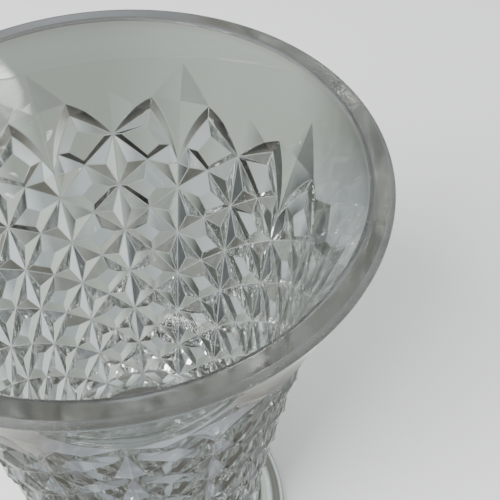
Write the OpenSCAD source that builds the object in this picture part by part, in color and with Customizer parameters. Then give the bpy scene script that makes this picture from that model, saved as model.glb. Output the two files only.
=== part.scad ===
// Footed cut crystal vase: a flared bowl cut with rows of diamonds, on a plain spreading foot.
// The origin is the centre of the ring that the foot stands on, and +Z is up.

/* [Overall] */
// Height from the table to the top of the rim
height = 212; // [208:1:225]
// Outside diameter across the rim
mouth_d = 160; // [150:1:170]
// Thickness of the wall, measured level
wall = 7.4; // [6:0.1:8.5]
// Radius of the two polished edges of the flat rim
rim_edge = 1.6; // [1:0.1:2.2]

/* [Outline] */
// Radius lost for each millimetre further down the bowl
taper = 0.11; // [0.09:0.005:0.13]
// Extra spread of the radius at the rim
flare = 14; // [11:0.5:15]
// Depth below the rim over which that spread dies away
flare_len = 42; // [36:1:46]

/* [Cut pattern] */
// Pairs of one tall and one short spike round the bowl
spike_pairs = 8; // [6:1:9]
// Rows of diamonds from the spikes to the foot
diamond_rows = 7; // [5:1:7]
// Height of the first row of stars
first_row_h = 169; // [168:0.5:170]
// Height from one row of stars to the next
row_pitch = 21.3; // [20.5:0.1:21.3]
// Depth of the V cuts
cut_depth = 2.1; // [1.4:0.1:2.4]

/* [Base] */
// Height of the solid glass under the hollow, at its middle
floor_h = 33; // [31:0.5:38]
// Radius of the curve from the floor of the hollow to its wall
floor_round = 16; // [12:1:22]
// Outside diameter of the foot
foot_d = 117; // [110:1:124]
// Thickness of the foot at its edge
foot_edge = 6; // [5:0.5:8]
// Height of the hollow ground under the foot
punt_h = 5; // [3:0.5:7]

/* [Hidden] */
glass = [0.72, 0.76, 0.74];
round_fn = 144;
overlap = 1;

// Rim: the wall ends in a flat top, and a round edge joins that to each of its leaning faces.
lean = atan(taper + flare / flare_len);
edge_h = height - rim_edge;
outer_edge_r = mouth_d / 2 - rim_edge;
inner_edge_r = outer_edge_r - wall + 2 * rim_edge / cos(lean);
wall_top_h = edge_h - rim_edge * sin(lean);
wall_top_r = outer_edge_r + rim_edge * cos(lean);

// Outside of the uncut bowl: a straight taper, and a flare that dies away below the rim
function bowl_r(h) =
    let (below = wall_top_h - h)
    wall_top_r - taper * below - flare * (1 - exp(-below / flare_len));

// Places on the cut band are [u, v, d]: u runs from a short spike's line at 0 to a tall spike's
// line at 1, v counts rows above the first row of stars, and d is the depth below the uncut glass.
turn = 180 / spike_pairs;
collar_h = 198;
neck_h = 28;
collar_v = (collar_h - first_row_h) / row_pitch;
neck_v = (neck_h - first_row_h) / row_pitch;
last_v = -(diamond_rows - 0.5);
deep = cut_depth;

// Ends of the spikes, and the corners of the top diamonds between them
short_tip = [0, 0.735, 0];
tall_tip = [1, 1.24, 0];
tall_waist = [1, 0.62, 0.42 * deep];
tall_foot = [1, -0.5, deep];
top_corner = [0.59, 0.62, 0];
top_corner_deep = [0.57, 0.44, 0.85 * deep];
first_star = [0, 0, deep];
flat_d = 0.35 * deep;

// A cut's edge is a shallow bow between its two ends.
function mix(a, b, t) = a + (b - a) * t;
function bowed(a, b, bow, t) = mix(a, b, t) + 4 * t * (1 - t) * [bow[0], bow[1], 0];
thirds = [0, 1 / 3, 2 / 3, 1];
// Depth along the edge of a short spike falls away to nothing two thirds of the way up it.
function spike_edge(t) =
    let (p = bowed([0, 0], [top_corner[0], top_corner[1]], [-0.03, 0.03], t))
    [p[0], p[1], deep * max(0, 1 - 1.5 * t)];
// Depth along the edge of a tall spike grows slowly at first, and fastest near the spike's foot.
tall_edge_power = 0.75;
function tall_edge(t) =
    let (p = bowed(top_corner, tall_foot, [0.05, 0.07], t))
    [p[0], p[1], deep * (1 - pow(1 - t, tall_edge_power))];
function tall_groove(t) = bowed(top_corner_deep, tall_foot, [0.02, 0.02], t);

short_side = spike_edge(2 / 3);
corner_meet = tall_groove(2 / 3);
function short_star(row) = [0, -row, deep];
function tall_star(row) = [1, -row, deep];
function crossing(row) = [0.5, -row - 0.5, deep];

// A face is a list of places, anticlockwise seen from outside. A fan cuts it into triangles.
function fan(face) = [for (i = [1 : len(face) - 2]) [face[0], face[i], face[i + 1]]];
function between(a, b, steps) = [for (i = [1 : steps - 1]) mix(a, b, i / steps)];
// Sloping facets that join a ring of groove places to the corner of a top, one side at a time
function facet(groove_a, groove_b, top_b, top_a) = fan([groove_a, groove_b, top_b, top_a]);
function peak(ring, top) =
    [for (i = [0 : len(ring) - 1]) [ring[i], ring[(i + 1) % len(ring)], top]];

// Full diamond: four facets up to a flat. In the first row the flat sits low and nearer to the
// short spike's line, and over small_flat_row rows it grows smaller and moves to the middle.
small_flat_row = 4;
function flat_corner(row, first, small) =
    let (corner = mix(first, small, min(1, (row - 1) / (small_flat_row - 1))))
    [corner[0], corner[1] - row, flat_d];
function diamond(row) =
    let (
        left = short_star(row), upper = crossing(row - 1), right = tall_star(row), lower = crossing(row),
        flat_left = flat_corner(row, [0.13, -0.06], [0.28, -0.02]),
        flat_upper = flat_corner(row, [0.43, 0.07], [0.41, 0.12]),
        flat_right = flat_corner(row, [0.62, -0.12], [0.72, -0.02]),
        flat_lower = flat_corner(row, [0.47, -0.36], [0.52, -0.3])
    )
    concat(
        facet(left, lower, flat_lower, flat_left),
        facet(lower, right, flat_right, flat_lower),
        facet(right, upper, flat_upper, flat_right),
        facet(upper, left, flat_left, flat_upper),
        fan([flat_left, flat_lower, flat_right, flat_upper])
    );

// Three-sided peaks on either side of each upright cut
peak_in = 0.17;
peak_down = 0.6;
peak_d = 0.1 * deep;
function short_peak(row) =
    peak([short_star(row), short_star(row + 1), crossing(row)], [peak_in, -row - peak_down, peak_d]);
function tall_peak(row) =
    peak([tall_star(row), crossing(row), tall_star(row + 1)], [1 - peak_in, -row - peak_down, peak_d]);
function top_tall_peak() =
    peak([tall_foot, corner_meet, crossing(0), tall_star(1)], [0.81, -0.62, peak_d]);

// Top diamond, whose right side follows the bowed foot of the tall spike
function top_diamond() =
    let (
        flat_left = [0.13, -0.03, flat_d], flat_upper = [0.51, 0.12, flat_d],
        flat_right = [0.69, -0.22, flat_d], flat_lower = [0.5, -0.45, flat_d],
        groove = [for (t = thirds) tall_groove(t)]
    )
    concat(
        facet(first_star, crossing(0), flat_lower, flat_left),
        facet(crossing(0), corner_meet, flat_right, flat_lower),
        [[groove[2], groove[1], flat_right], [groove[1], flat_upper, flat_right]],
        [[groove[1], groove[0], flat_upper]],
        facet(groove[0], first_star, flat_left, flat_upper),
        fan([flat_left, flat_lower, flat_right, flat_upper])
    );

// Steep bands above the top diamonds, from the bottom of the cut up to the uncut glass
function top_bands() =
    let (
        spike = [for (t = thirds) spike_edge(t)],
        edge = [for (t = thirds) tall_edge(t)],
        groove = [for (t = thirds) tall_groove(t)]
    )
    concat(
        [for (i = [0 : 2]) [spike[i], groove[0], spike[i + 1]]],
        [for (i = [0 : 1]) each fan([groove[i], groove[i + 1], edge[i + 1], edge[i]])],
        [[groove[2], tall_foot, edge[2]]]
    );

// The edges where the spikes run out into the uncut glass, from a short tip to a tall tip
short_side_steps = 2;
tall_side_steps = 3;
short_run_out = [short_tip, each between(short_tip, short_side, short_side_steps), short_side];
tall_run_out = [top_corner, each between(top_corner, tall_tip, tall_side_steps), tall_tip];
run_out = concat(short_run_out, tall_run_out);

function spikes() = concat(
    fan([first_star, spike_edge(1 / 3), short_side, each between(short_side, short_tip, short_side_steps),
        short_tip]),
    fan([tall_waist, each [for (i = [len(tall_run_out) - 1 : -1 : 0]) tall_run_out[i]]]),
    fan([tall_waist, each [for (t = thirds) tall_edge(t)]])
);

// Uncut glass from the spikes up to the collar
collar_steps = 3;
function uncut() = [
    for (i = [0 : len(run_out) - 2], j = [0 : collar_steps - 1])
        let (
            a = run_out[i], b = run_out[i + 1],
            t = j / collar_steps, s = (j + 1) / collar_steps,
            a_up = [a[0], collar_v, 0], b_up = [b[0], collar_v, 0]
        )
        each fan([mix(a, a_up, t), mix(b, b_up, t), mix(b, b_up, s), mix(a, a_up, s)])
];

// Bottom row: half peaks down to a cut ring, whose lower side ends at the foot
ring_steps = 2;
function bottom_ring(d, v) = [for (i = [0 : 2 * ring_steps]) [i / (2 * ring_steps), v, d]];
function bottom_row() =
    let (
        last = diamond_rows - 1,
        cut = bottom_ring(deep, last_v),
        plain = bottom_ring(0, neck_v),
        half_down = 0.33
    )
    concat(
        peak([short_star(last), for (i = [0 : ring_steps]) cut[i]], [peak_in, -last - half_down, peak_d]),
        peak([tall_star(last), for (i = [ring_steps : 2 * ring_steps]) cut[i]],
            [1 - peak_in, -last - half_down, peak_d]),
        [for (i = [0 : 2 * ring_steps - 1]) each fan([plain[i], plain[i + 1], cut[i + 1], cut[i]])]
    );

// Flat ends of the band, as wedges from the vase's axis
function ends() = concat(
    [for (i = [0 : len(run_out) - 2])
        [[run_out[i][0], collar_v, 0], [run_out[i + 1][0], collar_v, 0], [0, collar_v, "axis"]]],
    let (ring = bottom_ring(0, neck_v))
    [for (i = [0 : 2 * ring_steps - 1]) [ring[i + 1], ring[i], [0, neck_v, "axis"]]]
);

half_repeat = concat(
    [for (row = [1 : diamond_rows - 1]) each diamond(row)],
    [for (row = [0 : diamond_rows - 2]) each short_peak(row)],
    [for (row = [1 : diamond_rows - 2]) each tall_peak(row)],
    top_tall_peak(), top_diamond(), top_bands(), spikes(), uncut(), bottom_row(), ends()
);

// A place in millimetres: side is 1 to run anticlockwise from the short spike's line, or -1
function in_space(place, pair, side) =
    let (
        h = first_row_h + place[1] * row_pitch,
        angle = (2 * pair + side * place[0]) * turn,
        r = place[2] == "axis" ? 0 : bowl_r(h) - place[2]
    )
    [r * cos(angle), r * sin(angle), h];

cut_band = [
    for (pair = [0 : spike_pairs - 1], side = [1, -1], face = half_repeat)
        let (points = [for (place = face) in_space(place, pair, side)])
        each side == 1 ? points : [points[0], points[2], points[1]]
];

// Round outlines are [radius, height] lists. An arc's angles run from the first to the last.
function arc(centre_r, centre_h, r, from, to, steps) = [
    for (i = [0 : steps])
        let (a = from + (to - from) * i / steps)
        [centre_r + r * cos(a), centre_h + r * sin(a)]
];
// The wall's outside (inset 0) or inside (inset wall) from one height to another, upwards
outline_step = 6;
function wall_line(inset, low, high) =
    let (steps = ceil((high - low) / outline_step))
    [for (i = [0 : steps]) let (h = mix(low, high, i / steps)) [bowl_r(h) - inset, h]];
function reversed(list) = [for (i = [len(list) - 1 : -1 : 0]) list[i]];

module turned(outline) {
    rotate_extrude($fn = round_fn) polygon(outline);
}

// Plain collar above the spikes, up to the flat rim
module rim_collar() {
    color(glass) turned(concat(
        wall_line(0, collar_h, wall_top_h),
        arc(outer_edge_r, edge_h, rim_edge, -lean, 90, 8),
        arc(inner_edge_r, edge_h, rim_edge, 90, 180 - lean, 6),
        reversed(wall_line(wall, collar_h, wall_top_h))
    ));
}

// Round corner of the hollow's floor, given by two angles. Its lower half is in the plug.
floor_turn_h = floor_h + floor_round;
floor_turn_r = bowl_r(floor_turn_h) - wall;
plug_angle = -45;
plug_r = floor_turn_r - floor_round * (1 - cos(plug_angle));
function floor_corner(from, to) = arc(floor_turn_r - floor_round, floor_turn_h, floor_round, from, to, 8);

// Cut band: an open tube, faceted outside and smooth inside
module cut_wall() {
    color(glass) difference() {
        polyhedron(points = cut_band, faces = [for (i = [0 : 3 : len(cut_band) - 1]) [i, i + 1, i + 2]]);
        turned(concat(
            [[0, neck_h - overlap], [plug_r, neck_h - overlap]],
            floor_corner(plug_angle, 0),
            wall_line(wall, floor_turn_h, collar_h),
            [[bowl_r(collar_h) - wall, collar_h + overlap], [0, collar_h + overlap]]
        ));
    }
}

// Thick glass under the hollow: a plug inside the cut band with a dished top
module bowl_base() {
    color(glass) turned(concat(
        [[0, neck_h], [plug_r, neck_h]],
        floor_corner(plug_angle, -90),
        [[0, floor_h]]
    ));
}

// Foot: a waist under the cut band that sweeps out to a thin round edge, ground hollow below
waist_r = bowl_r(neck_h);
foot_r = foot_d / 2;
foot_edge_r = foot_edge / 2;
sweep_h = neck_h - foot_edge;
sweep_r = foot_r - foot_edge_r - waist_r;
punt_inset = 14;
function sweep(steps) = [
    for (i = [0 : steps])
        let (a = 90 * i / steps)
        [waist_r + sweep_r * (1 - cos(a)), foot_edge + sweep_h * (1 - sin(a))]
];
module foot() {
    punt_r = foot_r - punt_inset;
    punt_ball_r = (punt_r * punt_r + punt_h * punt_h) / (2 * punt_h);
    punt_angle = asin(punt_r / punt_ball_r);
    color(glass) turned(concat(
        [[0, neck_h]],
        sweep(14),
        arc(foot_r - foot_edge_r, foot_edge_r, foot_edge_r, 90, -90, 10),
        arc(0, punt_h - punt_ball_r, punt_ball_r, 90 - punt_angle, 90, 8)
    ));
}

rim_collar();
cut_wall();
bowl_base();
foot();
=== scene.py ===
import math

import bpy
from mathutils import Matrix, Vector


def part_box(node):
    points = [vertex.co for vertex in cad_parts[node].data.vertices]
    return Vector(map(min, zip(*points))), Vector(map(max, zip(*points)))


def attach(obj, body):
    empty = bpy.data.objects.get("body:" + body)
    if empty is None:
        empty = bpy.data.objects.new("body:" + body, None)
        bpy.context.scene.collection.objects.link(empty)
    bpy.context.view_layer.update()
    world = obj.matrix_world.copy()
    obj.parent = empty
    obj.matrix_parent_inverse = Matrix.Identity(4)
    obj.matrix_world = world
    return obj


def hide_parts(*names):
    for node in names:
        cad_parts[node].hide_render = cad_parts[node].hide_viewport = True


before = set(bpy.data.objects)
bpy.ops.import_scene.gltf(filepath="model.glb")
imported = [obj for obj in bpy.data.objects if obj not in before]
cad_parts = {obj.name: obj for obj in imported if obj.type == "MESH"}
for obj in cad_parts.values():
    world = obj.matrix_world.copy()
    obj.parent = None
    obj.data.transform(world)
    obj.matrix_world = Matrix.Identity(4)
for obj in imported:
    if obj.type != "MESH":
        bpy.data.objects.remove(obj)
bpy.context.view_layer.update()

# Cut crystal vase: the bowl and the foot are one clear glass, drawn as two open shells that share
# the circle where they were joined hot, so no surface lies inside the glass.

MM = 0.001


# ---------------------------------------------------------------- sizes, in millimetres
def node_span(node):
    """Radius and lowest and highest level of a CAD node, in millimetres."""
    low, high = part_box(node)
    return high[0] / MM, low[2] / MM, high[2] / MM


MOUTH_R, COLLAR_H, HEIGHT = node_span("rim_collar")
_, NECK_H, _ = node_span("cut_wall")
FOOT_R, _, _ = node_span("foot")

WALL = 7.4
TAPER = 0.11
FLARE = 14.0
FLARE_LEN = 42.0
RIM_EDGE = 1.6
FIRST_ROW_H = 169.0
ROW_PITCH = 21.3
CUT_DEPTH = 2.1
ROWS = 7
PAIRS = 8
FLOOR_H = 33.0
FLOOR_ROUND = 16.0
FOOT_EDGE = 6.0
PUNT_H = 5.0
PUNT_INSET = 14.0

LEAN = math.atan(TAPER + FLARE / FLARE_LEN)
EDGE_H = HEIGHT - RIM_EDGE
OUTER_EDGE_R = MOUTH_R - RIM_EDGE
INNER_EDGE_R = OUTER_EDGE_R - WALL + 2 * RIM_EDGE / math.cos(LEAN)
WALL_TOP_H = EDGE_H - RIM_EDGE * math.sin(LEAN)
WALL_TOP_R = OUTER_EDGE_R + RIM_EDGE * math.cos(LEAN)


def bowl_r(h):
    """Radius of the uncut bowl: a straight taper, and a flare that dies away below the rim."""
    below = WALL_TOP_H - h
    return WALL_TOP_R - TAPER * below - FLARE * (1 - math.exp(-below / FLARE_LEN))


# ---------------------------------------------------------------- mesh helpers
# Places that round to the same step of this grid are one point.
POINTS_PER_MM = 5000


class Shell:
    """Faces gathered one facet at a time. Edges between two facets are sharp."""

    def __init__(self):
        self.points = []
        self.index = {}
        self.faces = []
        self.facets = []
        self.count = 0
        self.satin = set()

    def point(self, place):
        key = tuple(round(c * POINTS_PER_MM) for c in place)
        if key not in self.index:
            self.index[key] = len(self.points)
            self.points.append(place)
        return self.index[key]

    def facet(self, *faces):
        """Faces that are smooth with each other, as lists of places anticlockwise from outside."""
        self.count += 1
        for face in faces:
            ring = [self.point(p) for p in face]
            ring = [v for i, v in enumerate(ring) if v != ring[i - 1]]
            if len(ring) > 2:
                self.faces.append(ring)
                self.facets.append(self.count)

    def build(self, name):
        mesh = bpy.data.meshes.new(name)
        mesh.from_pydata([[c * MM for c in p] for p in self.points], [], self.faces)
        mesh.validate()
        owners = {}
        for face, facet in zip(self.faces, self.facets):
            for i, v in enumerate(face):
                owners.setdefault(tuple(sorted((v, face[i - 1]))), set()).add(facet)
        for edge in mesh.edges:
            edge.use_edge_sharp = len(owners.get(tuple(sorted(edge.vertices)), ())) > 1
        mesh.shade_smooth()
        mesh.polygons.foreach_set("material_index", [int(facet in self.satin) for facet in self.facets])
        piece = bpy.data.objects.new(name, mesh)
        bpy.context.collection.objects.link(piece)
        return piece


# ---------------------------------------------------------------- the cut pattern
# A place is (u, v, d): u runs from a short spike's line at 0 to a tall spike's line at 1,
# v counts rows above the first row of stars, and d is the depth below the uncut glass.
TURN = math.pi / PAIRS
DEEP = CUT_DEPTH


def mix(a, b, t):
    return tuple(p + (q - p) * t for p, q in zip(a, b))


def bowed(a, b, bow, t):
    """A point on the shallow bow from a to b."""
    lift = 4 * t * (1 - t)
    return tuple(p + (q - p) * t + w * lift for p, q, w in zip(a, b, bow))


def steps(n):
    return [i / n for i in range(n + 1)]


SHORT_TIP = (0, 0.735, 0)
TALL_TIP = (1, 1.24, 0)
TALL_WAIST = (1, 0.62, 0.42 * DEEP)
TALL_FOOT = (1, -0.5, DEEP)
TOP_CORNER = (0.59, 0.62, 0)
TOP_CORNER_DEEP = (0.57, 0.44, 0.85 * DEEP)
FIRST_STAR = (0, 0, DEEP)
FLAT_D = 0.35 * DEEP
PEAK_IN = 0.17
PEAK_DOWN = 0.6
LAST_PEAK_DOWN = 0.33
PEAK_D = 0.1 * DEEP
TALL_EDGE_POWER = 0.75

# Flats as left, lower, right and upper corners: of the top diamonds, of the first row of full
# diamonds, and of the rows from SMALL_FLAT_ROW down
TOP_FLAT = [(0.13, -0.03, FLAT_D), (0.5, -0.45, FLAT_D), (0.69, -0.22, FLAT_D), (0.51, 0.12, FLAT_D)]
FIRST_FLAT = [(0.13, -0.06, FLAT_D), (0.47, -0.36, FLAT_D), (0.62, -0.12, FLAT_D), (0.43, 0.07, FLAT_D)]
SMALL_FLAT = [(0.28, -0.02, FLAT_D), (0.52, -0.3, FLAT_D), (0.72, -0.02, FLAT_D), (0.41, 0.12, FLAT_D)]
SMALL_FLAT_ROW = 4

# How far along its bow a short spike's edge leaves the cut, and a tall spike's groove parts from
# the top diamond. The steps of a bow are split there.
PARTING = 2 / 3
BOW_STEPS = 12
LONG_STEPS = round(BOW_STEPS * PARTING)
LAST_STEPS = BOW_STEPS - LONG_STEPS


def spike_edge(t):
    """Edge of a short spike, from its star (0) to the top corner (1)."""
    u, v, _ = bowed((0, 0, 0), TOP_CORNER, (-0.03, 0.03, 0), t)
    return (u, v, DEEP * max(0, 1 - t / PARTING))


def tall_edge(t):
    """Edge of a tall spike, from the top corner (0) down to the spike's foot (1)."""
    u, v, _ = bowed(TOP_CORNER, TALL_FOOT, (0.05, 0.07, 0), t)
    return (u, v, DEEP * (1 - (1 - t) ** TALL_EDGE_POWER))


def tall_groove(t):
    """Bottom of the cut along a tall spike."""
    return bowed(TOP_CORNER_DEEP, TALL_FOOT, (0.02, 0.02, 0), t)


def star(row, tall):
    return (1 if tall else 0, -row, DEEP)


def crossing(row):
    return (0.5, -row - 0.5, DEEP)


def strip(lower, upper):
    """Quads between two rows of places of the same length."""
    return [
        [lower[i], lower[i + 1], upper[i + 1], upper[i]]
        for i in range(len(lower) - 1)
    ]


def diamond(row):
    """Four facets up to a flat, which grows smaller and moves to the middle down the rows."""
    ring = [star(row, False), crossing(row), star(row, True), crossing(row - 1)]
    share = min(1, (row - 1) / (SMALL_FLAT_ROW - 1))
    flat = []
    for first, small in zip(FIRST_FLAT, SMALL_FLAT):
        u, v, d = mix(first, small, share)
        flat.append((u, v - row, d))
    return facets_up_to(ring, flat)


def facets_up_to(ring, flat):
    sides = [
        [[ring[i], ring[(i + 1) % 4], flat[(i + 1) % 4], flat[i]]]
        for i in range(4)
    ]
    return sides + [[flat]]


def fan(top, line):
    """Triangles from one place to each step of a line."""
    return [[a, b, top] for a, b in zip(line, line[1:])]


def peak(ring, top):
    """Three-sided or four-sided peak."""
    return [[[p, ring[(i + 1) % len(ring)], top]] for i, p in enumerate(ring)]


def peaks(row):
    lower = -row - PEAK_DOWN
    short = peak([star(row, False), star(row + 1, False), crossing(row)], (PEAK_IN, lower, PEAK_D))
    tall_top = (1 - PEAK_IN, lower, PEAK_D)
    if row:
        return short + peak([star(row, True), crossing(row), star(row + 1, True)], tall_top)
    bow = [tall_groove(1 - t * (1 - PARTING)) for t in steps(LAST_STEPS)]
    ring = [bow[-1], crossing(0), star(1, True), bow[0]]
    return short + [fan(tall_top, bow)] + [fan(tall_top, side) for side in zip(ring, ring[1:])]


def top_diamond():
    """Top diamond, whose right side follows the bowed foot of the tall spike."""
    left, lower, right, upper = TOP_FLAT
    bow = [tall_groove(t * PARTING) for t in steps(LONG_STEPS)]
    rim = [mix(upper, right, t) for t in steps(LONG_STEPS)]
    return [
        [[FIRST_STAR, crossing(0), lower, left]],
        [[crossing(0), bow[-1], right, lower]],
        strip(bow[::-1], rim[::-1]),
        [[bow[0], FIRST_STAR, left, upper]],
        [[left, lower] + rim[::-1]],
    ]


def top_bands():
    """Steep bands above the top diamonds, from the bottom of the cut up to the uncut glass."""
    edge = [spike_edge(t) for t in steps(BOW_STEPS)]
    tall = [tall_edge(t) for t in steps(BOW_STEPS)]
    groove = [tall_groove(t) for t in steps(BOW_STEPS)]
    return [fan(TOP_CORNER_DEEP, edge[::-1]), strip(groove, tall)]


# Where the cutting runs out into uncut glass, from a short spike's tip to a tall spike's tip
SHORT_SIDE_STEPS = 5
TALL_SIDE_STEPS = 6
RUN_OUT_SHORT = [mix(SHORT_TIP, spike_edge(PARTING), t) for t in steps(SHORT_SIDE_STEPS)]
RUN_OUT_BAND = [spike_edge(PARTING + t * (1 - PARTING)) for t in steps(LAST_STEPS)]
RUN_OUT_TALL = [mix(TOP_CORNER, TALL_TIP, t) for t in steps(TALL_SIDE_STEPS)]
RUN_OUT = RUN_OUT_SHORT[:-1] + RUN_OUT_BAND[:-1] + RUN_OUT_TALL


def spikes():
    """A short spike's half facet, and a tall spike's upper and lower half facets."""
    lower_side = [spike_edge(t * PARTING) for t in steps(LONG_STEPS)]
    tall = [tall_edge(t) for t in steps(BOW_STEPS)]
    return [
        [[FIRST_STAR, a, b] for a, b in zip(lower_side[1:], lower_side[2:])]
        + [[FIRST_STAR, b, a] for a, b in zip(RUN_OUT_SHORT, RUN_OUT_SHORT[1:])],
        [[TALL_WAIST, b, a] for a, b in zip(RUN_OUT_TALL, RUN_OUT_TALL[1:])],
        [[TALL_WAIST, a, b] for a, b in zip(tall, tall[1:])],
    ]


RING_STEPS = 4


def bottom_row():
    """Half peaks down to the cut ring above the foot, and that ring's lower side."""
    last = ROWS - 1
    top_v = -last - LAST_PEAK_DOWN
    middle = RING_STEPS // 2
    cut = [(t, -ROWS + 0.5, DEEP) for t in steps(RING_STEPS)]
    neck_v = (NECK_H - FIRST_ROW_H) / ROW_PITCH
    plain = [(t, neck_v, 0) for t in steps(RING_STEPS)]
    short = peak([star(last, False)] + cut[:middle + 1], (PEAK_IN, top_v, PEAK_D))
    tall = peak([star(last, True)] + cut[middle:], (1 - PEAK_IN, top_v, PEAK_D))
    return short + tall + [strip(plain, cut)]


def half_repeat():
    facets = top_diamond() + top_bands() + spikes() + bottom_row()
    for row in range(1, ROWS):
        facets += diamond(row)
    for row in range(ROWS - 1):
        facets += peaks(row)
    return facets


def polar(r, angle, h):
    return (r * math.cos(angle), r * math.sin(angle), h)


def in_space(place, pair, side):
    u, v, d = place
    h = FIRST_ROW_H + v * ROW_PITCH
    return polar(bowl_r(h) - d, (2 * pair + side * u) * TURN, h)


# ---------------------------------------------------------------- round outlines
def arc(centre_r, centre_h, r, start, end, count):
    """Points on an arc, with its angles in degrees."""
    return [
        (
            centre_r + r * math.cos(math.radians(start + (end - start) * t)),
            centre_h + r * math.sin(math.radians(start + (end - start) * t)),
        )
        for t in steps(count)
    ]


def wall_line(inset, low, high, count):
    levels = [low + (high - low) * t for t in steps(count)]
    return [(bowl_r(h) - inset, h) for h in levels]


# Steps along each part of an outline, and round the foot
COLLAR_STEPS = 3
OUTER_EDGE_STEPS = 10
INNER_EDGE_STEPS = 8
HOLLOW_STEPS = 36
FLOOR_STEPS = 14
PUNT_STEPS = 10
FOOT_EDGE_STEPS = 12
SWEEP_STEPS = 20
FOOT_TURN_STEPS = 192


def rim_and_hollow():
    """Outline from the collar over the lip and down the hollow to the middle of its floor."""
    lean = math.degrees(LEAN)
    turn_h = FLOOR_H + FLOOR_ROUND
    turn_r = bowl_r(turn_h) - WALL
    outer_edge = arc(OUTER_EDGE_R, EDGE_H, RIM_EDGE, -lean, 90, OUTER_EDGE_STEPS)
    inner_edge = arc(INNER_EDGE_R, EDGE_H, RIM_EDGE, 90, 180 - lean, INNER_EDGE_STEPS)
    inside = wall_line(WALL, WALL_TOP_H, turn_h, HOLLOW_STEPS)
    floor = arc(turn_r - FLOOR_ROUND, turn_h, FLOOR_ROUND, 0, -90, FLOOR_STEPS)
    outside = wall_line(0, COLLAR_H, WALL_TOP_H, COLLAR_STEPS)[:-1]
    return outside + outer_edge + inner_edge + inside + floor[1:] + [(0, FLOOR_H)]


def foot_outline():
    """Outline from the middle of the punt over the ground ring and up the foot to the neck."""
    waist = bowl_r(NECK_H)
    edge = FOOT_EDGE / 2
    sweep_r = FOOT_R - edge - waist
    sweep_h = NECK_H - FOOT_EDGE
    punt_r = FOOT_R - PUNT_INSET
    ball_r = (punt_r ** 2 + PUNT_H ** 2) / (2 * PUNT_H)
    half = math.degrees(math.asin(punt_r / ball_r))
    punt = arc(0, PUNT_H - ball_r, ball_r, 90, 90 - half, PUNT_STEPS)
    rim = arc(FOOT_R - edge, edge, edge, -90, 90, FOOT_EDGE_STEPS)
    sweep = []
    for t in steps(SWEEP_STEPS):
        angle = t * math.pi / 2
        r = waist + sweep_r * (1 - math.cos(angle))
        sweep.append((r, FOOT_EDGE + sweep_h * (1 - math.sin(angle))))
    return punt, rim, sweep[::-1]


def turned(shell, outline, angles):
    """Turns an outline, given upwards on the outside, round the axis at the given angles."""
    faces = []
    for (r0, h0), (r1, h1) in zip(outline, outline[1:]):
        for a, b in zip(angles, angles[1:] + angles[:1]):
            faces.append([polar(r0, a, h0), polar(r0, b, h0), polar(r1, b, h1), polar(r1, a, h1)])
    shell.facet(*faces)


# ---------------------------------------------------------------- the bowl
COLLAR_V = (COLLAR_H - FIRST_ROW_H) / ROW_PITCH
UNCUT_ROWS = 6
ANGLE_DIGITS = 9
SAME_ANGLE = 1e-6


def raised(place, share):
    """A place part of the way from the run-out up to the collar."""
    return mix(place, (place[0], COLLAR_V, 0), share)


def uncut_half(pair, side):
    """Uncut glass of half a repeat, from the spikes up to the collar."""
    faces = []
    for a, b in zip(RUN_OUT, RUN_OUT[1:]):
        for low, high in zip(steps(UNCUT_ROWS), steps(UNCUT_ROWS)[1:]):
            quad = [raised(a, low), raised(b, low), raised(b, high), raised(a, high)]
            faces.append([in_space(p, pair, side) for p in quad][::side])
    return faces


def collar_angles():
    """Angles of the columns of points in the uncut glass, once each and in order."""
    found = sorted(
        round(((2 * pair + side * place[0]) * TURN) % (2 * math.pi), ANGLE_DIGITS)
        for pair in range(PAIRS) for side in (1, -1) for place in RUN_OUT
    )
    return [a for i, a in enumerate(found) if i == 0 or a - found[i - 1] > SAME_ANGLE]


def build_bowl():
    """The cut outside, and the rim and hollow, which run on smoothly from the uncut glass."""
    bowl = Shell()
    facets = half_repeat()
    spike_top = next(facet for facet in facets if facet[0][0] == TALL_WAIST)
    uncut = []
    for pair in range(PAIRS):
        for side in (1, -1):
            for facet in facets:
                faces = [[in_space(p, pair, side) for p in face] for face in facet]
                bowl.facet(*[face[::side] for face in faces])
                if side == 1 and facet is spike_top:
                    bowl.satin.add(bowl.count)
            uncut += uncut_half(pair, side)
    bowl.facet(*uncut)
    smooth = bowl.count
    turned(bowl, rim_and_hollow(), collar_angles())
    bowl.facets = [min(facet, smooth) for facet in bowl.facets]
    return bowl.build("bowl_glass")


def build_foot():
    foot = Shell()
    angles = [2 * math.pi * t for t in steps(FOOT_TURN_STEPS)[:-1]]
    punt, rim, sweep = foot_outline()
    ground_ring = [(punt[-1][0], 0), rim[0]]
    for outline in (punt, ground_ring, rim, sweep):
        turned(foot, outline, angles)
    return foot.build("foot_glass")


bowl_glass = build_bowl()
foot_glass = build_foot()

# ---------------------------------------------------------------- node helpers
def noise(nodes, links, place, size, detail=2):
    """Noise whose patches are about as wide as the given size in millimetres."""
    node = nodes.new("ShaderNodeTexNoise")
    node.inputs["Scale"].default_value = 1 / (size * MM)
    node.inputs["Detail"].default_value = detail
    links.new(place, node.inputs["Vector"])
    return node.outputs["Fac"]


def bump(nodes, links, height, size):
    node = nodes.new("ShaderNodeBump")
    node.inputs["Distance"].default_value = size * MM
    links.new(height, node.inputs["Height"])
    return node


def ranged(nodes, links, value, low, high, to_low, to_high, curve="LINEAR"):
    """Moves a value from one range to another, and holds it at the ends."""
    node = nodes.new("ShaderNodeMapRange")
    node.interpolation_type = curve
    node.inputs["From Min"].default_value = low
    node.inputs["From Max"].default_value = high
    node.inputs["To Min"].default_value = to_low
    node.inputs["To Max"].default_value = to_high
    links.new(value, node.inputs["Value"])
    return node.outputs["Result"]


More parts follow.
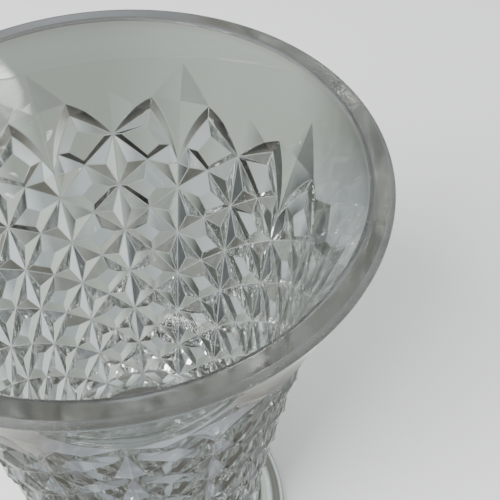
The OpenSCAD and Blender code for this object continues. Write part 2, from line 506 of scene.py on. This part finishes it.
def combine(nodes, links, how, share, a, b):
    """Mixes, multiplies or adds two colours. Each of share, a and b is a value or a socket."""
    node = nodes.new("ShaderNodeMix")
    node.data_type = "RGBA"
    node.blend_type = how
    for name, given in (("Factor", share), ("A", a), ("B", b)):
        if isinstance(given, bpy.types.NodeSocket):
            links.new(given, node.inputs[name])
        else:
            node.inputs[name].default_value = given
    return node.outputs["Result"]


def scaled(colour, factor):
    return (*[c * factor for c in colour], 1)


# ---------------------------------------------------------------- crystal
CRYSTAL_IOR = 1.54
GLASS_TINT = (0.49, 0.52, 0.488)
# Tint is added at each surface, so a deeper tint stands for the depth of glass in the solid foot.
FOOT_TINT = (0.41, 0.445, 0.42)
SATIN_TINT = (0.41, 0.43, 0.405)
# Painted shade at the rim: the darker, warmer colour that the top band of the glass is mixed towards
RIM_PAINTED_SHADE = (0.32, 0.31, 0.275)
TINT_SPREAD = 0.03

# Slow waves and fine grain of hand polishing, in millimetres wide and high
WAVE_SIZE = 9
WAVE_HEIGHT = 0.03
GRAIN_SIZE = 0.5
CLEAR_GRAIN = 0.002
SATIN_GRAIN = 0.03

# Roughness of the satin facets, of the worn rim, and added where a patch is cloudiest
SATIN_HAZE = 0.42
RIM_HAZE = 0.14
PATCH_HAZE = 0.03
PATCH_SIZE = 25
CLOUD_START = 0.45
CLOUD_FULL = 0.7

# Height of the band below the top of the rim in which its haze and its painted shade fade away
RIM_BAND = 3.0

EDGE_WIDTH = 0.2
EDGE_ANGLE = 4
EDGE_STEPS = 2


def polish(nodes, links, place, grain):
    """Surface direction, with fine grain on slow waves."""
    slow = bump(nodes, links, noise(nodes, links, place, WAVE_SIZE, detail=1), WAVE_HEIGHT)
    fine = bump(nodes, links, noise(nodes, links, place, GRAIN_SIZE), grain)
    links.new(slow.outputs["Normal"], fine.inputs["Normal"])
    return fine.outputs["Normal"]


def tint_with_rim_shade(nodes, links, patches, rim, tint):
    """Tint that changes a little from patch to patch, with painted shade that makes it darker and
    warmer at the rim.
    """
    darker, lighter = scaled(tint, 1 - TINT_SPREAD), scaled(tint, 1 + TINT_SPREAD)
    patchy = combine(nodes, links, "MIX", patches, darker, lighter)
    return combine(nodes, links, "MIX", rim, patchy, scaled(RIM_PAINTED_SHADE, 1))


def glass_haze(nodes, links, patches, rim, haze):
    """Roughness, with cloudy patches and a worn rim."""
    cloud = ranged(nodes, links, patches, CLOUD_START, CLOUD_FULL, haze, haze + PATCH_HAZE)
    worn = nodes.new("ShaderNodeMath")
    worn.operation = "MULTIPLY_ADD"
    worn.inputs[1].default_value = RIM_HAZE
    links.new(rim, worn.inputs[0])
    links.new(cloud, worn.inputs[2])
    return worn.outputs["Value"]


def crystal(name, tint, grain, haze):
    """Glass with a tint, and with a grain in millimetres and a haze as a roughness."""
    material = bpy.data.materials.new(name)
    material.use_nodes = True
    nodes, links = material.node_tree.nodes, material.node_tree.links
    shader = nodes["Principled BSDF"]
    shader.inputs["Transmission Weight"].default_value = 1.0
    shader.inputs["IOR"].default_value = CRYSTAL_IOR
    place = nodes.new("ShaderNodeTexCoord").outputs["Object"]
    level = nodes.new("ShaderNodeSeparateXYZ")
    links.new(place, level.inputs[0])
    # Top band of the rim: it sets the rim's painted shade in the tint and the worn rim's roughness
    rim = ranged(nodes, links, level.outputs["Z"], (HEIGHT - RIM_BAND) * MM, HEIGHT * MM, 0, 1)
    patches = noise(nodes, links, place, PATCH_SIZE)
    links.new(polish(nodes, links, place, grain), shader.inputs["Normal"])
    links.new(tint_with_rim_shade(nodes, links, patches, rim, tint), shader.inputs["Base Color"])
    links.new(glass_haze(nodes, links, patches, rim, haze), shader.inputs["Roughness"])
    return material


def finish_piece(piece, glass):
    """Eases the cut edges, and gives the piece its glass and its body."""
    bevel = piece.modifiers.new("eased_edges", "BEVEL")
    bevel.limit_method = "ANGLE"
    bevel.angle_limit = math.radians(EDGE_ANGLE)
    bevel.width = EDGE_WIDTH * MM
    bevel.segments = EDGE_STEPS
    bevel.use_clamp_overlap = False
    piece.data.materials.append(glass)
    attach(piece, "root")


finish_piece(bowl_glass, crystal("crystal", GLASS_TINT, CLEAR_GRAIN, 0))
finish_piece(foot_glass, crystal("crystal_foot", FOOT_TINT, CLEAR_GRAIN, 0))
# The bowl's second glass is for the satin facet on one side of each tall spike.
bowl_glass.data.materials.append(crystal("crystal_satin", SATIN_TINT, SATIN_GRAIN, SATIN_HAZE))
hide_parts("rim_collar", "cut_wall", "bowl_base")
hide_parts("foot")

# ---------------------------------------------------------------- floor
FLOOR_SIZE = 8
PAPER_TINT = (0.86, 0.86, 0.85)
PAPER_TINT_SPREAD = 0.02
PAPER_GRAIN_SIZE = 2.5
PAPER_ROUGHNESS = 0.9


def paper(name):
    """Matt paper with a faint grain."""
    material = bpy.data.materials.new(name)
    material.use_nodes = True
    nodes, links = material.node_tree.nodes, material.node_tree.links
    shader = nodes["Principled BSDF"]
    shader.inputs["Roughness"].default_value = PAPER_ROUGHNESS
    place = nodes.new("ShaderNodeTexCoord").outputs["Object"]
    tone = nodes.new("ShaderNodeValToRGB")
    tone.color_ramp.elements[0].color = scaled(PAPER_TINT, 1 - PAPER_TINT_SPREAD)
    tone.color_ramp.elements[1].color = scaled(PAPER_TINT, 1)
    links.new(noise(nodes, links, place, PAPER_GRAIN_SIZE), tone.inputs["Fac"])
    links.new(tone.outputs["Color"], shader.inputs["Base Color"])
    return material


bpy.ops.mesh.primitive_plane_add(size=FLOOR_SIZE)
floor = bpy.context.object
floor.name = "floor"
floor.data.materials.append(paper("floor_paper"))
# In the glass, the lower half of the room is seen in place of the floor.
floor.visible_transmission = False
floor.visible_glossy = False

# ---------------------------------------------------------------- the room
WHITE = (1, 1, 1)
GREY_GREEN = (0.95, 1.0, 0.94)
WARM_GREY = (1.06, 0.98, 0.90)
COOL_GREY = (0.93, 0.99, 1.06)
LILAC_GREY = (0.92, 0.98, 1.12)

# Elevation in degrees, brightness and tint. The far side is pale low down, with a dark band under
# the horizon. The window side lies behind the camera. Below the horizon the room is seen in the
# glass and past the edge of the floor.
FAR_SIDE = [
    (-90, 1.10, LILAC_GREY),
    (-80, 0.85, LILAC_GREY),
    (-70, 0.38, WARM_GREY),
    (-60, 0.66, GREY_GREEN),
    (-54, 1.10, COOL_GREY),
    (-47, 1.16, COOL_GREY),
    (-42, 0.92, GREY_GREEN),
    (-34, 0.92, GREY_GREEN),
    (-29, 0.32, WARM_GREY),
    (-23, 0.07, WARM_GREY),
    (-15, 0.07, WARM_GREY),
    (-5, 0.50, COOL_GREY),
    (25, 0.60, COOL_GREY),
    (65, 0.38, WARM_GREY),
    (90, 1.80, WHITE),
]
WINDOW_SIDE = [
    (-90, 1.10, LILAC_GREY),
    (-80, 0.80, LILAC_GREY),
    (-70, 0.20, WARM_GREY),
    (-32, 0.22, WARM_GREY),
    (-18, 0.75, COOL_GREY),
    (30, 0.95, COOL_GREY),
    (90, 1.80, WHITE),
]
# Direction's X, from -1 at the left to 1 at the right, and the share of the far side's light there
ACROSS = [
    (-1, 1.45),
    (-0.28, 1.80),
    (-0.18, 0.86),
    (-0.05, 0.88),
    (0.03, 1.06),
    (0.10, 1.17),
    (0.20, 1.19),
    (0.30, 0.22),
    (1, 0.26),
]
# Direction's Y at which the window side ends, and at which the far side is whole
WINDOW_SIDE_END = -0.10
FAR_SIDE_WHOLE = 0.34

# A lamp behind a soft cover: its direction, half its width in degrees, and its brightness
LAMP_SIDE = (0.70, -0.72, 0.03)
LAMP_SPREAD = 8
LAMP_LIGHT = 22


def on_ramp(part):
    """Place on a ramp, from 0 to 1, of a part of the direction, from -1 to 1."""
    return (1 + part) / 2


def direction_parts(nodes, links, direction):
    """X, Y and Z of the direction, as places on a ramp."""
    halved = nodes.new("ShaderNodeVectorMath")
    halved.operation = "MULTIPLY_ADD"
    halved.inputs[1].default_value = (0.5, 0.5, 0.5)
    halved.inputs[2].default_value = (0.5, 0.5, 0.5)
    parts = nodes.new("ShaderNodeSeparateXYZ")
    links.new(direction, halved.inputs[0])
    links.new(halved.outputs["Vector"], parts.inputs[0])
    return parts.outputs["X"], parts.outputs["Y"], parts.outputs["Z"]


def room_ramp(nodes, links, value, stops):
    """Light along one part of the direction, with a brightness and tint at each stop."""
    ramp = nodes.new("ShaderNodeValToRGB")
    elements = ramp.color_ramp.elements
    for _ in stops[2:]:
        elements.new(0.5)
    for element, (part, light, tint) in zip(elements, stops):
        element.position = on_ramp(part)
        element.color = scaled(tint, light)
    links.new(value, ramp.inputs["Fac"])
    return ramp.outputs["Color"]


def by_elevation(stops):
    return [(math.sin(math.radians(elevation)), light, tint) for elevation, light, tint in stops]


def two_sides(nodes, links, direction):
    """The window side, and past it the far side with its change across."""
    x, y, z = direction_parts(nodes, links, direction)
    window_side = room_ramp(nodes, links, z, by_elevation(WINDOW_SIDE))
    far_side = room_ramp(nodes, links, z, by_elevation(FAR_SIDE))
    across = room_ramp(nodes, links, x, [(part, light, WHITE) for part, light in ACROSS])
    shaded = combine(nodes, links, "MULTIPLY", 1, far_side, across)
    start, end = on_ramp(WINDOW_SIDE_END), on_ramp(FAR_SIDE_WHOLE)
    depth = ranged(nodes, links, y, start, end, 0, 1, "SMOOTHSTEP")
    return combine(nodes, links, "MIX", depth, window_side, shaded)


def lamp_glow(nodes, links, direction):
    """Light that is brightest towards the lamp and fades to nothing at its edge."""
    toward = nodes.new("ShaderNodeVectorMath")
    toward.operation = "DOT_PRODUCT"
    toward.inputs[1].default_value = Vector(LAMP_SIDE).normalized()
    links.new(direction, toward.inputs[0])
    edge = math.cos(math.radians(LAMP_SPREAD))
    return ranged(nodes, links, toward.outputs["Value"], edge, 1, 0, LAMP_LIGHT, "SMOOTHERSTEP")


def build_room():
    """A world whose light depends on the direction alone."""
    world = bpy.data.worlds.new("studio")
    bpy.context.scene.world = world
    world.use_nodes = True
    nodes, links = world.node_tree.nodes, world.node_tree.links
    direction = nodes.new("ShaderNodeTexCoord").outputs["Generated"]
    sides = two_sides(nodes, links, direction)
    lit = combine(nodes, links, "ADD", 1, sides, lamp_glow(nodes, links, direction))
    links.new(lit, nodes["Background"].inputs["Color"])


# ---------------------------------------------------------------- key light, in metres
KEY_PLACE = Vector((-0.55, -0.45, 0.95))
KEY_AIM = Vector((0, 0.1, 0))
KEY_WIDTH = 0.6
KEY_WATTS = 25


def add_key():
    """Square soft light, above and behind the camera on its left."""
    data = bpy.data.lights.new("key", "AREA")
    data.size = KEY_WIDTH
    data.energy = KEY_WATTS
    lamp = bpy.data.objects.new("key", data)
    bpy.context.collection.objects.link(lamp)
    lamp.location = KEY_PLACE
    lamp.rotation_euler = (KEY_AIM - KEY_PLACE).to_track_quat("-Z", "Y").to_euler()


# ---------------------------------------------------------------- camera
EYE = Vector((0.0142, -0.168, 0.3637))
HEADING = math.radians(5.45)
PITCH = math.radians(43.54)
ROLL = math.radians(-1.62)
LENS = 58.5
SENSOR_WIDTH = 36
SHIFT_X = 0.076
SHIFT_Y = -0.148
NEAREST = 0.01


def add_camera():
    """Looks from the front, turned to the right by HEADING and down by PITCH."""
    ahead = Vector((math.sin(HEADING), math.cos(HEADING), 0))
    forward = math.cos(PITCH) * ahead - math.sin(PITCH) * Vector((0, 0, 1))
    level = Vector((math.cos(HEADING), -math.sin(HEADING), 0))
    rise = level.cross(forward)
    right = math.cos(ROLL) * level + math.sin(ROLL) * rise
    up = math.cos(ROLL) * rise - math.sin(ROLL) * level
    data = bpy.data.cameras.new("camera")
    data.lens = LENS
    data.sensor_width = SENSOR_WIDTH
    data.shift_x = SHIFT_X
    data.shift_y = SHIFT_Y
    data.clip_start = NEAREST
    camera = bpy.data.objects.new("camera", data)
    bpy.context.collection.objects.link(camera)
    camera.matrix_world = Matrix((
        (right.x, up.x, -forward.x, EYE.x),
        (right.y, up.y, -forward.y, EYE.y),
        (right.z, up.z, -forward.z, EYE.z),
        (0, 0, 0, 1),
    ))
    bpy.context.scene.camera = camera


build_room()
add_key()
add_camera()

# Light is thrown from facet to facet inside cut glass, so a path may take many turns.
MOST_TURNS = 48
paths = bpy.context.scene.cycles
paths.max_bounces = MOST_TURNS
paths.glossy_bounces = MOST_TURNS
paths.transmission_bounces = MOST_TURNS
